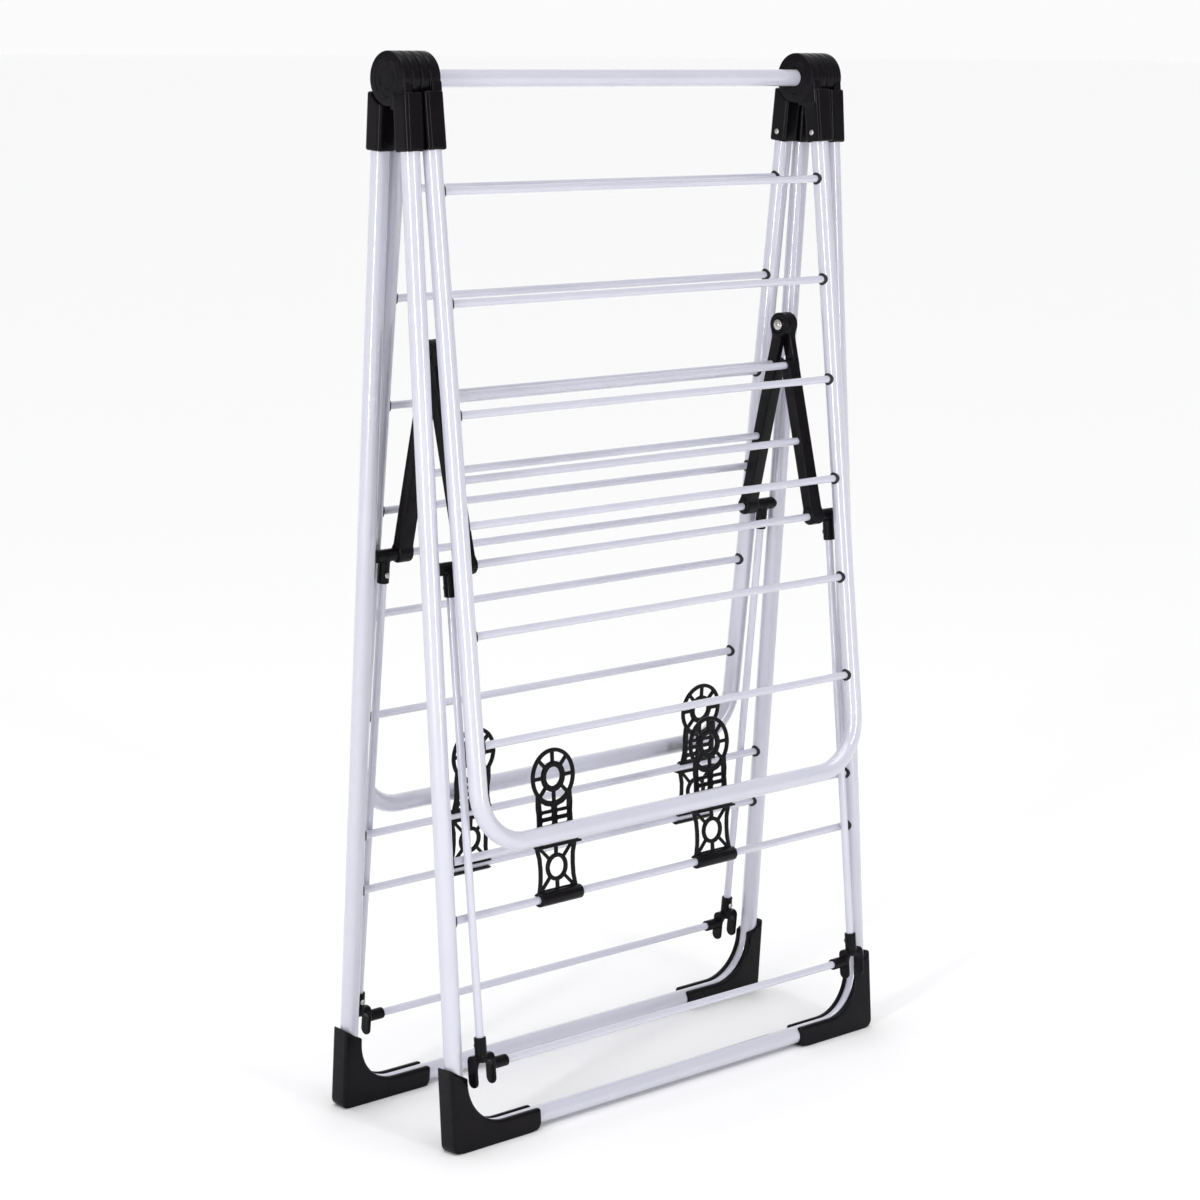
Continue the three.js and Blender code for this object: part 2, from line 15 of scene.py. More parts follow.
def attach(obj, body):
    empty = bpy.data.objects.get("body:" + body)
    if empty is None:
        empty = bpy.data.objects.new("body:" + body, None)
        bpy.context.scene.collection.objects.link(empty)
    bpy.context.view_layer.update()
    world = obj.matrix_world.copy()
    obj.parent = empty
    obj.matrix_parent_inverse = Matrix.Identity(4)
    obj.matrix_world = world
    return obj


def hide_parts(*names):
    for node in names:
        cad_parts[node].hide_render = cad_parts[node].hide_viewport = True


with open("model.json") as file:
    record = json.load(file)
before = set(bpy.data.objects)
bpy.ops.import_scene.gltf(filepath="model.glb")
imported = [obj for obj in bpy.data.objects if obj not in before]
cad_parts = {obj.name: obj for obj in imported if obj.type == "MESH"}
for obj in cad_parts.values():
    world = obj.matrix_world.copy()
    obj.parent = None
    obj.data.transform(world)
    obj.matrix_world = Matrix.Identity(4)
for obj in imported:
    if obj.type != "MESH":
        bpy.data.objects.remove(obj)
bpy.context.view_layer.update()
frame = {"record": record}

# ---- driving dimensions, in millimetres and degrees, as the CAD model has them ----
AXIS_HEIGHT = 1040
LEG_ANGLE = 3.889
WING_ANGLE = 6.2
PROP_ANGLE = 5.7

TUBE_RADIUS = 9.25
BEND_RADIUS = 56
TUBE_TOP = 27
LEG_X = 290.5
LEG_OFFSET = 17.7
LEG_END = 1031.6
BAR_HEIGHT = 12  # of the floor end of a leg tube, above the floor
LEG_RODS = {"rod_upper": 755.2, "rod_lower": 813.8}
PIVOT_DOWN = 467.8
WING_X = 267.3
WING_OFFSET = 19.4
WING_END = 742
WING_RODS = 6
WING_ROD_FIRST = 108.2
WING_ROD_PITCH = 106.75
ROD_RADIUS = 4
TOP_ROD_RADIUS = 8.75

DISC_RADIUS = 26
SLEEVE_HALF = 11.4
SLEEVE_TOP = 14
SLEEVE_BOTTOM = 69.5
LOBES = {
    "front_leg": (290.0, 300.4),
    "back_leg": (279.2, 289.6),
    "back_wing": (268.1, 278.3),
    "front_wing": (255.0, 267.7),
}

FOOT_OUTER_X = 302.8
FOOT_INNER_X = 188
FOOT_HALF_DEPTH = 11.6
FOOT_HEIGHT_OUTER = 86
FOOT_HEIGHT_INNER = 73
FOOT_CORNER = 9

CENTRE_HINGE_Z = 778
ARM_IN = 236.5
ARM_OUT = 253.5
ARM_HALF_WIDTH = 6.6
ARM_FOOT_RADIUS = 9
ARM_TIP_RADIUS = 13
SHELF_RODS = (82.5, 165)

PROP_X = 267.35
TEE_IN = 253.8
TEE_OUT = 280.9
TEE_RADIUS = 6.5
STEM_RADIUS = 6.1
STEM_LENGTH = 28
BRACKET_TOP = 463
BRACKET_SOCKET_END = 495
BRACKET_END = 512
CROSS_ROD_DOWN = 492.5
PRONG_THICKNESS = 3
PRONG_HALF_DEPTH = 6.5
PRONG_IN = 254.4
PRONG_OUT = 280.3
CROSS_SOCKET_X = 236
CROSS_SOCKET_RADIUS = 6

SOLE_THICKNESS = 3
SOLE_INNER = -3.5  # the sole's inner face, outwards from the rods' centre lines
CLIP_RADIUS = 7.4
SADDLE_RADIUS = 6.6
SADDLE_HALF_WIDTH = 24
SOLE_CENTRES = {
    "shoe_holder_front_left": ("front", -143),
    "shoe_holder_front_right": ("front", 77),
    "shoe_holder_back_left": ("back", -141),
    "shoe_holder_back_right": ("back", 188),
}

SIDES = {"front": -1, "back": 1}
ENDS = {"left": -1, "right": 1}
MM = 0.001


# ---- frames: where each group of pieces stands, for the back of the rack ----
def turned(place, angle):
    y, z = place
    return Matrix.Translation((0, y, z)) @ Matrix.Rotation(math.radians(angle), 4, "X")


LEG = turned((0, AXIS_HEIGHT), LEG_ANGLE)
WING = turned((0, AXIS_HEIGHT), WING_ANGLE)
PIVOT = LEG @ Vector((0, LEG_OFFSET, -PIVOT_DOWN))
PROP = turned(PIVOT.yz, PROP_ANGLE)
ARM_RISE = CENTRE_HINGE_Z - PIVOT.z
ARM_LENGTH = math.hypot(PIVOT.y, ARM_RISE)
ARM = turned(PIVOT.yz, math.degrees(math.atan2(PIVOT.y, ARM_RISE)))
UPRIGHT = turned((0, AXIS_HEIGHT), 0)


# ---- shapes: a shape is (points as an array, faces as a list of index tuples) ----
def joined(shapes):
    points, faces, start = [], [], 0
    for own_points, own_faces in shapes:
        points.append(own_points)
        faces += [tuple(start + i for i in face) for face in own_faces]
        start += len(own_points)
    return np.vstack(points), faces


def moved(shape, matrix):
    m = np.array(matrix)
    return shape[0] @ m[:3, :3].T + m[:3, 3], shape[1]


def shifted(shape, x=0.0, o=0.0, w=0.0):
    return shape[0] + np.array((x, o, w)), shape[1]


def mirrored(shape, end=1, side=1):
    points = shape[0] * np.array((end, side, 1))
    faces = shape[1] if end * side > 0 else [tuple(reversed(face)) for face in shape[1]]
    return points, faces


def swept(stations, radius, sides):
    """A capped tube through stations (centre, tangent) whose path lies in a plane of constant o."""
    points, faces = [], []
    across = Vector((0, 1, 0))
    for centre, tangent in stations:
        sideways = across.cross(tangent).normalized()
        for k in range(sides):
            turn = 2 * math.pi * k / sides
            points.append(centre + radius * (math.cos(turn) * across + math.sin(turn) * sideways))
    for ring in range(len(stations) - 1):
        for k in range(sides):
            a, b = ring * sides + k, ring * sides + (k + 1) % sides
            faces.append((a, b, b + sides, a + sides))
    faces.append(tuple(reversed(range(sides))))
    faces.append(tuple(range(len(points) - sides, len(points))))
    return np.array([tuple(p) for p in points]), faces


def straight(start, finish, radius, sides=24):
    start, finish = Vector(start), Vector(finish)
    tangent = (finish - start).normalized()
    return swept([(start, tangent), (finish, tangent)], radius, sides)


def rod(half, o, w, radius=ROD_RADIUS, sides=24):
    return straight((-half, o, w), (half, o, w), radius, sides)


def u_frame(x, o, top, end, bend_steps=14, sides=32):
    """The centre line of a U-shaped frame, swept: down the left, along the bottom, up the right."""
    stations = [(Vector((-x, o, -top)), Vector((0, 0, -1)))]
    for side in (-1, 1):
        for i in range(bend_steps + 1):
            turn = (i / bend_steps + (side > 0)) * math.pi / 2
            centre_x = side * (x - BEND_RADIUS)
            w = -(end - BEND_RADIUS) - BEND_RADIUS * math.sin(turn)
            stations.append((
                Vector((centre_x - BEND_RADIUS * math.cos(turn), o, w)),
                Vector((math.sin(turn), 0, -math.cos(turn))),
            ))
    stations.append((Vector((x, o, -top)), Vector((0, 0, 1))))
    return swept(stations, TUBE_RADIUS, sides)


def lathed(profile, sides=48):
    """A closed body of revolution about x: the profile's (x, radius) points start and end on the axis."""
    points = [(profile[0][0], 0, 0)]
    for x, radius in profile[1:-1]:
        for k in range(sides):
            turn = 2 * math.pi * k / sides
            points.append((x, radius * math.cos(turn), radius * math.sin(turn)))
    points.append((profile[-1][0], 0, 0))
    last = len(points) - 1
    faces = []
    for k in range(sides):
        after = (k + 1) % sides
        faces.append((0, 1 + after, 1 + k))
        faces.append((last, last - sides + k, last - sides + after))
        for ring in range(len(profile) - 3):
            a, b = 1 + ring * sides + k, 1 + ring * sides + after
            faces.append((a, b, b + sides, a + sides))
    return np.array(points), faces


# ---- fields: signed distances in millimetres, negative inside ----
def length(*parts):
    return np.sqrt(sum(part * part for part in parts))


def both(a, b, fillet=0.0):
    """What lies inside both, its edge rounded."""
    a, b = a + fillet, b + fillet
    return np.minimum(np.maximum(a, b), 0) + length(np.maximum(a, 0), np.maximum(b, 0)) - fillet


def cut(a, b, fillet=0.3):
    return both(a, -b, fillet)


def blended(a, b, reach):
    """What lies inside either, with a hollow fillet where they meet."""
    share = np.clip(0.5 + 0.5 * (b - a) / reach, 0, 1)
    return b * (1 - share) + a * share - reach * share * (1 - share)


def span(v, low, high):
    return np.abs(v - (low + high) / 2) - (high - low) / 2


def bar(v, a, b, low, high, radius, fillet=0.5):
    """A round bar along v from low to high; a and b are the offsets from its axis."""
    return both(length(a, b) - radius, span(v, low, high), fillet)


def block(x, o, w, xs, os, ws, fillet=0.5):
    qx, qo, qw = (span(v, *ends) + fillet for v, ends in ((x, xs), (o, os), (w, ws)))
    outside = length(np.maximum(qx, 0), np.maximum(qo, 0), np.maximum(qw, 0))
    return outside + np.minimum(np.maximum(np.maximum(qx, qo), qw), 0) - fillet


def polygon(u, v, corners):
    """Signed distance to a polygon's outline in the plane of u and v."""
    nearest = np.full(np.broadcast(u, v).shape, 1e9)
    inside = np.zeros(nearest.shape, bool)
    for (u0, v0), (u1, v1) in zip(corners, corners[1:] + corners[:1]):
        du, dv = u1 - u0, v1 - v0
        along = np.clip(((u - u0) * du + (v - v0) * dv) / (du * du + dv * dv), 0, 1)
        nearest = np.minimum(nearest, length(u - u0 - along * du, v - v0 - along * dv))
        if dv:
            crosses = (v0 > v) != (v1 > v)
            inside ^= crosses & (u < u0 + (v - v0) * du / dv)
    return np.where(inside, -nearest, nearest)


def strut(u, v, start, finish, half_width):
    du, dv = finish[0] - start[0], finish[1] - start[1]
    along = np.clip(((u - start[0]) * du + (v - start[1]) * dv) / (du * du + dv * dv), 0, 1)
    return length(u - start[0] - along * du, v - start[1] - along * dv) - half_width


def arc(centre_u, centre_v, radius, start, finish, steps):
    turns = np.radians(np.linspace(start, finish, steps + 1))
    return [(centre_u + radius * math.cos(t), centre_v + radius * math.sin(t)) for t in turns]


def surface(field, low, high, step, keep):
    """A closed mesh of the field's zero surface by surface nets, thinned to the share to keep."""
    axes = [np.arange(a - 2 * step, b + 3 * step, step) for a, b in zip(low, high)]
    value = field(*np.meshgrid(*axes, indexing="ij", sparse=True))
    value = np.broadcast_to(value, tuple(len(a) for a in axes))
    inside = value < 0
    cells = tuple(n - 1 for n in value.shape)
    total, count = np.zeros(cells + (3,)), np.zeros(cells)
    crossings = []
    for axis in range(3):
        order = (axis, (axis + 1) % 3, (axis + 2) % 3)
        turned_value = value.transpose(order)
        turned_inside = inside.transpose(order)
        first, second = turned_value[:-1], turned_value[1:]
        crossing = turned_inside[:-1] != turned_inside[1:]
        share = np.where(crossing, first / np.where(crossing, first - second, 1), 0)
        nu, nv = turned_value.shape[1] - 1, turned_value.shape[2] - 1
        steps_on = np.arange(turned_value.shape[0] - 1)[:, None, None]
        on_u, on_v = np.arange(nu)[None, :, None], np.arange(nv)[None, None, :]
        turned_total = total.transpose(order + (3,))
        turned_count = count.transpose(order)
        for du in (0, 1):
            for dv in (0, 1):
                here = crossing[:, du:du + nu, dv:dv + nv]
                turned_total[..., order[0]] += here * (steps_on + share[:, du:du + nu, dv:dv + nv])
                turned_total[..., order[1]] += here * (on_u + du)
                turned_total[..., order[2]] += here * (on_v + dv)
                turned_count += here
        crossings.append((order, crossing, turned_inside[:-1]))
    active = count > 0
    ids = np.full(cells, -1)
    ids[active] = np.arange(active.sum())
    origin = np.array([a[0] for a in axes])
    points = origin + step * total[active] / count[active][:, None]
    faces = []
    for order, crossing, starts_inside in crossings:
        turned_ids = ids.transpose(order)
        i, u, v = np.nonzero(crossing)
        corners = np.stack([turned_ids[i, u - a, v - b] for a, b in ((1, 1), (0, 1), (0, 0), (1, 0))], 1)
        outward = starts_inside[i, u, v]
        faces.append(np.where(outward[:, None], corners, corners[:, ::-1]))
    return thinned((points, np.vstack(faces).tolist()), keep)


def thinned(shape, keep):
    if keep >= 1:
        return shape
    mesh = bpy.data.meshes.new("thinning")
    mesh.from_pydata(shape[0].tolist(), [], shape[1])
    holder = bpy.data.objects.new("thinning", mesh)
    bpy.context.scene.collection.objects.link(holder)
    thin = holder.modifiers.new("thin", "DECIMATE")
    thin.ratio = keep
    thin.use_collapse_triangulate = True
    result = holder.evaluated_get(bpy.context.evaluated_depsgraph_get()).to_mesh()
    points = np.array([tuple(v.co) for v in result.vertices])
    faces = [tuple(p.vertices) for p in result.polygons]
    bpy.data.objects.remove(holder)
    bpy.data.meshes.remove(mesh)
    return points, faces


# ---- materials ----
def material(name, slot_colour, roughness, metallic=0.0):
    made = bpy.data.materials.new(name)
    made.use_nodes = True
    tree = made.node_tree
    shader = tree.nodes["Principled BSDF"]
    shader.inputs["Base Color"].default_value = (*slot_colour, 1)
    shader.inputs["Roughness"].default_value = roughness
    shader.inputs["Metallic"].default_value = metallic
    return made, tree, shader


def noise(tree, scale, detail=3.0, rough=0.55, stretch=(1, 1, 1)):
    place = tree.nodes.new("ShaderNodeTexCoord")
    mapping = tree.nodes.new("ShaderNodeMapping")
    mapping.inputs["Scale"].default_value = stretch
    tree.links.new(place.outputs["Object"], mapping.inputs["Vector"])
    texture = tree.nodes.new("ShaderNodeTexNoise")
    texture.inputs["Scale"].default_value = scale
    texture.inputs["Detail"].default_value = detail
    texture.inputs["Roughness"].default_value = rough
    tree.links.new(mapping.outputs["Vector"], texture.inputs["Vector"])
    return texture.outputs["Fac"]


def ramp(tree, factor, stops):
    node = tree.nodes.new("ShaderNodeValToRGB")
    tree.links.new(factor, node.inputs["Fac"])
    elements = node.color_ramp.elements
    while len(elements) < len(stops):
        elements.new(0.5)
    for element, (position, colour) in zip(elements, stops):
        element.position = position
        element.color = (*colour, 1) if len(colour) == 3 else colour
    return node.outputs["Color"]


def ranged(tree, factor, low, high, from_low=0.3, from_high=0.7):
    node = tree.nodes.new("ShaderNodeMapRange")
    node.inputs["From Min"].default_value = from_low
    node.inputs["From Max"].default_value = from_high
    node.inputs["To Min"].default_value = low
    node.inputs["To Max"].default_value = high
    tree.links.new(factor, node.inputs["Value"])
    return node.outputs["Result"]


def bumped(tree, shader, heights, distance):
    """Bumps from several height fields, each (factor, strength), one over the other."""
    below = None
    for height, strength in heights:
        node = tree.nodes.new("ShaderNodeBump")
        node.inputs["Distance"].default_value = distance
        node.inputs["Strength"].default_value = strength
        tree.links.new(height, node.inputs["Height"])
        if below:
            tree.links.new(below, node.inputs["Normal"])
        below = node.outputs["Normal"]
    tree.links.new(below, shader.inputs["Normal"])


def painted_edge_highlight(tree, low=0.5, high=0.62):
    """Painted highlight: bright where the surface is convex, broken up by noise."""
    geometry = tree.nodes.new("ShaderNodeNewGeometry")
    edges = ranged(tree, geometry.outputs["Pointiness"], 0, 1, low, high)
    patches = ranged(tree, noise(tree, 90, 4), 0, 1, 0.45, 0.7)
    both_of = tree.nodes.new("ShaderNodeMath")
    both_of.operation = "MULTIPLY"
    tree.links.new(edges, both_of.inputs[0])
    tree.links.new(patches, both_of.inputs[1])
    return both_of.outputs["Value"]


def white_coat():
    """Glossy lavender-white powder coat: faint clouding and fine orange peel under a clear gloss."""
    made, tree, shader = material("white_powder_coat", (0.60, 0.60, 0.69), 0.35)
    clouding = ramp(tree, noise(tree, 14, 4), [(0.3, (0.585, 0.585, 0.675)), (0.7, (0.615, 0.615, 0.705))])
    tree.links.new(clouding, shader.inputs["Base Color"])
    tree.links.new(ranged(tree, noise(tree, 45, 5), 0.28, 0.40), shader.inputs["Roughness"])
    bumped(tree, shader, [(noise(tree, 700, 1), 0.05)], 0.0002)
    shader.inputs["Coat Weight"].default_value = 1.0
    shader.inputs["Coat Roughness"].default_value = 0.08
    shader.inputs["Coat IOR"].default_value = 1.8
    return made


def black_plastic():
    """Satin moulded nylon: near black with a violet cast, fine spark texture and a painted highlight on its
    convex edges.
    """
    made, tree, shader = material("black_moulded_plastic", (0.0055, 0.0045, 0.0065), 0.3)
    base = ramp(tree, noise(tree, 28, 4), [(0.3, (0.0034, 0.0026, 0.0036)), (0.7, (0.0054, 0.0043, 0.0058))])
    mix = tree.nodes.new("ShaderNodeMix")
    mix.data_type = "RGBA"
    # lighter colour of the painted highlight on convex edges
    mix.inputs["B"].default_value = (0.016, 0.014, 0.018, 1)
    tree.links.new(painted_edge_highlight(tree), mix.inputs["Factor"])
    tree.links.new(base, mix.inputs["A"])
    tree.links.new(mix.outputs["Result"], shader.inputs["Base Color"])
    tree.links.new(ranged(tree, noise(tree, 50, 5), 0.26, 0.38), shader.inputs["Roughness"])
    shader.inputs["Specular IOR Level"].default_value = 0.05
    shader.inputs["Coat Weight"].default_value = 0.16
    shader.inputs["Coat Roughness"].default_value = 0.12
    bumped(tree, shader, [(noise(tree, 1400, 2, 0.7), 0.12), (noise(tree, 150, 2), 0.05)], 0.0002)
    return made


def rubber():
    made, tree, shader = material("black_rubber", (0.008, 0.008, 0.010), 0.7)
    shades = [(0.3, (0.006, 0.006, 0.008)), (0.7, (0.013, 0.013, 0.016))]
    tree.links.new(ramp(tree, noise(tree, 300, 3), shades), shader.inputs["Base Color"])
    tree.links.new(ranged(tree, noise(tree, 200, 3), 0.6, 0.8), shader.inputs["Roughness"])
    bumped(tree, shader, [(noise(tree, 900, 2), 0.3)], 0.0002)
    return made


def zinc():
    """Bright zinc plate: turned rings of varying gloss and a faint warm stain."""
    made, tree, shader = material("zinc_plated_steel", (0.62, 0.61, 0.58), 0.3, 1.0)
    tree.links.new(ramp(tree, noise(tree, 700, 3), [(0.3, (0.52, 0.51, 0.48)), (0.7, (0.70, 0.69, 0.67))]),
                   shader.inputs["Base Color"])
    tree.links.new(ranged(tree, noise(tree, 1200, 3), 0.22, 0.42), shader.inputs["Roughness"])
    bumped(tree, shader, [(noise(tree, 2500, 2), 0.2)], 0.0001)
    return made


WHITE = white_coat()
BLACK = black_plastic()
RUBBER = rubber()
ZINC = zinc()

BODY_OF = {node: body for body, nodes in frame["record"]["behaviour"]["bodies"].items() for node in nodes}
SLOT_OF = {part["node"]: part["material_slot"] for part in frame["record"]["subparts"]}


def piece(name, shape, finish, body, slot, nodes=(), crease=35):
    """Puts a shape, in millimetres in the rack's frame, on its body as a finished piece."""
    mesh = bpy.data.meshes.new(name)
    mesh.from_pydata((shape[0] * MM).tolist(), [], shape[1])
    mesh.materials.append(finish)
    mesh.validate()
    mesh.shade_smooth()
    mesh.set_sharp_from_angle(angle=math.radians(crease))
    made = bpy.data.objects.new(name, mesh)
    bpy.context.scene.collection.objects.link(made)
    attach(made, body)
    if nodes:
        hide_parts(*nodes)
    return made


def dressed(node, shape, finish, crease=35):
    """A piece that stands for one CAD node and takes its body."""
    return piece(f"{node}_skin", shape, finish, BODY_OF[node], SLOT_OF[node], [node], crease)


# ---- small parts: screws and grommets ----
def screw_head(radius=2.9, height=1.7):
    """A cross-recessed pan head that stands on x = 0 and points to +x."""
    def field(x, o, w):
        dome = length(x + 3.2, o, w) - (height + 3.2)
        head = both(both(length(o, w) - radius, span(x, -1.2, 9), 0.0), dome, 0.35)
        slot_a = block(x, o, w, (height - 1.1, height + 2), (-1.7, 1.7), (-0.42, 0.42), 0.1)
        slot_b = block(x, o, w, (height - 1.1, height + 2), (-0.42, 0.42), (-1.7, 1.7), 0.1)
        return cut(head, np.minimum(slot_a, slot_b), 0.08)
    reach = radius + 0.2
    return surface(field, (-1.4, -reach, -reach), (height + 0.2, reach, reach), 0.2, 0.35)


SCREW = screw_head()


def screw(x, o, w, towards):
    """The head at a place, pointing along a vector."""
    turn = Vector((1, 0, 0)).rotation_difference(Vector(towards)).to_matrix().to_4x4()
    return moved(SCREW, Matrix.Translation((x, o, w)) @ turn)


GROMMET_RADIUS = 6.5
GROMMET_LIP = 1.6


def grommet(tube_x, o, w):
    """A rubber ring round a rod where it enters an upright, saddled to the tube's curve."""
    profile = [
        (0.2, ROD_RADIUS - 0.3),
        (-GROMMET_LIP, ROD_RADIUS + 0.1),
        (-GROMMET_LIP, GROMMET_RADIUS - 0.9),
        (-GROMMET_LIP * 0.6, GROMMET_RADIUS - 0.2),
        (0.4, GROMMET_RADIUS),
        (1.2, GROMMET_RADIUS - 0.8),
    ]
    sides = 36
    points, faces = [], []
    for k in range(sides):
        turn = 2 * math.pi * k / sides
        for depth, radius in profile:
            across = radius * math.cos(turn)
            wall = tube_x - math.sqrt(TUBE_RADIUS ** 2 - across ** 2)
            points.append((wall + depth, o + across, w + radius * math.sin(turn)))
    count = len(profile)
    for k in range(sides):
        for j in range(count):
            a, b = k * count + j, k * count + (j + 1) % count
            c, d = (k + 1) % sides * count + (j + 1) % count, (k + 1) % sides * count + j
            faces.append((a, d, c, b))
    return np.array(points), faces


# ---- hinge sockets ----
SLEEVE_CORNER = 5.0


def hinge_disc(frame_name):
    """A lobe of the top hinge, its rim rounded and its faces stepped in rings."""
    x_in, x_out = LOBES[frame_name]
    rim = 1.5
    profile = [(x_in, 0)]
    rings = [(9.5, 0), (10.0, 0.5), (10.8, 0.5), (11.3, 0), (16.5, 0), (17.0, 0.5), (17.8, 0.5), (18.3, 0)]
    profile += [(x_in + depth, radius) for radius, depth in rings]
    corner = [(rim * (1 - math.sin(t)), DISC_RADIUS - rim * (1 - math.cos(t)))
              for t in np.radians((0, 22, 45, 68, 90))]
    profile += [(x_in + depth, radius) for depth, radius in reversed(corner)]
    profile += [(x_out - depth, radius) for depth, radius in corner]
    profile += [(x_out - depth, radius) for radius, depth in reversed(rings)]
    profile.append((x_out, 0))
    return lathed(profile, 64)


def sleeve_field(frame_name, partner, tube_x, offset):
    lobe, beside = LOBES[frame_name], LOBES[partner]
    def field(x, o, w):
        section = block(x, o, 0 * w, (tube_x - SLEEVE_HALF, tube_x + SLEEVE_HALF),
                        (offset - SLEEVE_HALF, offset + SLEEVE_HALF), (-90, 90), SLEEVE_CORNER)
        sleeve = both(section, span(w, -SLEEVE_BOTTOM, -SLEEVE_TOP), 2.2)
        neck = block(x, o, w, (lobe[0] + 0.3, lobe[1] - 0.3), (2, offset + 8), (-30, -4), 2)
        body = np.minimum(sleeve, neck)
        disc_room = both(length(o, w) - DISC_RADIUS - 0.5, span(x, beside[0] - 4, beside[1] + 4))
        own_room = both(length(o, w) - DISC_RADIUS + 1.5, span(x, lobe[0] - 1, lobe[1] + 1))
        tube_room = both(length(x - tube_x, o - offset) - TUBE_RADIUS - 0.15, w + TUBE_TOP)
        body = cut(body, both(disc_room, -own_room), 0.4)
        return cut(body, tube_room, 0.4)
    return field


def hinge_socket(frame_name, partner, tube_x, offset):
    low = (tube_x - SLEEVE_HALF, 1, -SLEEVE_BOTTOM)
    high = (tube_x + SLEEVE_HALF, offset + SLEEVE_HALF, -3)
    sleeve = surface(sleeve_field(frame_name, partner, tube_x, offset), low, high, 0.7, 0.3)
    return joined([hinge_disc(frame_name), sleeve])


# ---- feet ----
def from_floor(height):
    """Where a height above the floor lies along a leg, counted from the axis."""
    return height - BAR_HEIGHT - LEG_END


def foot():
    """A channel round a leg's bottom bend, its lips open a little on the inside of the bend."""
    bend_x, bend_w = LEG_X - BEND_RADIUS, BEND_RADIUS - LEG_END
    lip_radius = BEND_RADIUS - TUBE_RADIUS - 0.4
    corner = from_floor(0) + FOOT_CORNER
    outline = [
        (FOOT_OUTER_X, from_floor(FOOT_HEIGHT_OUTER)),
        (LEG_X - TUBE_RADIUS - 0.4, from_floor(FOOT_HEIGHT_INNER)),
    ]
    outline += arc(bend_x, bend_w, lip_radius, 0, -90, 16)
    outline += arc(FOOT_INNER_X + 3, bend_w - lip_radius - 3, 3, 90, 180, 4)
    outline += arc(FOOT_INNER_X + 9, from_floor(8), 9, 180, 250, 6)
    outline += [(FOOT_INNER_X + 16, from_floor(-3)), (FOOT_OUTER_X - FOOT_CORNER, from_floor(-3))]
    outline += arc(FOOT_OUTER_X - FOOT_CORNER, corner - 1, FOOT_CORNER, -90, 0, 8)
    sine, cosine = math.sin(math.radians(LEG_ANGLE)), math.cos(math.radians(LEG_ANGLE))

    def field(x, o, w):
        around = o - LEG_OFFSET
        body = both(polygon(x, w, outline), np.abs(around) - FOOT_HALF_DEPTH, 3.5)
        past_bend = length(np.maximum(x - bend_x, 0), np.maximum(bend_w - w, 0)) - BEND_RADIUS
        tube_room = length(past_bend, around) - TUBE_RADIUS - 0.12
        mouth = both(np.abs(around) - 5.6, past_bend)
        body = cut(body, np.minimum(tube_room, mouth), 0.5)
        above_floor = AXIS_HEIGHT + o * sine + w * cosine
        return both(body, -above_floor, 0.8)

    low = (FOOT_INNER_X, LEG_OFFSET - FOOT_HALF_DEPTH, from_floor(-4))
    high = (FOOT_OUTER_X, LEG_OFFSET + FOOT_HALF_DEPTH, from_floor(FOOT_HEIGHT_OUTER))
    return surface(field, low, high, 0.85, 0.22)


# ---- shelf arms ----
def shelf_arm(side):
    """A bar of rounded section, half as thick past its last rod, with a round tip for the pivot."""
    middle = (ARM_IN + ARM_OUT) / 2
    lap = (middle + 0.3, ARM_OUT) if side == "front" else (ARM_IN, middle - 0.3)
    last = SHELF_RODS[-1]

    def field(x, o, w):
        limb = both(strut(o, w, (0, 0), (0, last), ARM_HALF_WIDTH), span(x, ARM_IN, ARM_OUT), 1.8)
        heel = both(length(o, w) - ARM_FOOT_RADIUS, span(x, ARM_IN, ARM_OUT), 1.8)
        tongue = both(strut(o, w, (0, last), (0, ARM_LENGTH), ARM_HALF_WIDTH), span(x, *lap), 1.2)
        tip = both(length(o, w - ARM_LENGTH) - ARM_TIP_RADIUS, span(x, *lap), 1.2)
        whole = blended(blended(limb, heel, 3), blended(tongue, tip, 4), 0.5)
        for up in SHELF_RODS:
            whole = cut(whole, bar(x, o, w - up, ARM_IN - 2, ARM_IN + 1, ROD_RADIUS + 0.1, 0), 0.3)
        ring = np.abs(length(o, w - ARM_LENGTH) - 8.6) - 0.45
        face = lap[0] + 0.5 if side == "back" else lap[1] - 0.5
        groove = both(ring, face - x if side == "front" else x - face)
        return cut(whole, groove, 0.1)

    low = (ARM_IN, -ARM_TIP_RADIUS, -ARM_FOOT_RADIUS)
    high = (ARM_OUT, ARM_TIP_RADIUS, ARM_LENGTH + ARM_TIP_RADIUS)
    return surface(field, low, high, 0.8, 0.2)


# ---- props ----
def prop_tee():
    def field(x, o, w):
        barrel = bar(x, o, w, TEE_IN, TEE_OUT, TEE_RADIUS, 0.8)
        stem = bar(w, x - PROP_X, o, -STEM_LENGTH, 0, STEM_RADIUS, 0.9)
        boss = bar(-o, x - PROP_X, w + STEM_LENGTH - 9, 0, STEM_RADIUS + 0.3, 3.6, 0.4)
        tee = blended(blended(barrel, stem, 2), boss, 0.6)
        return cut(tee, bar(w, x - PROP_X, o, -STEM_LENGTH - 3, -STEM_LENGTH + 4, ROD_RADIUS + 0.15, 0), 0.4)
    low = (TEE_IN, -TEE_RADIUS, -STEM_LENGTH)
    high = (TEE_OUT, TEE_RADIUS, TEE_RADIUS)
    return surface(field, low, high, 0.55, 0.35)


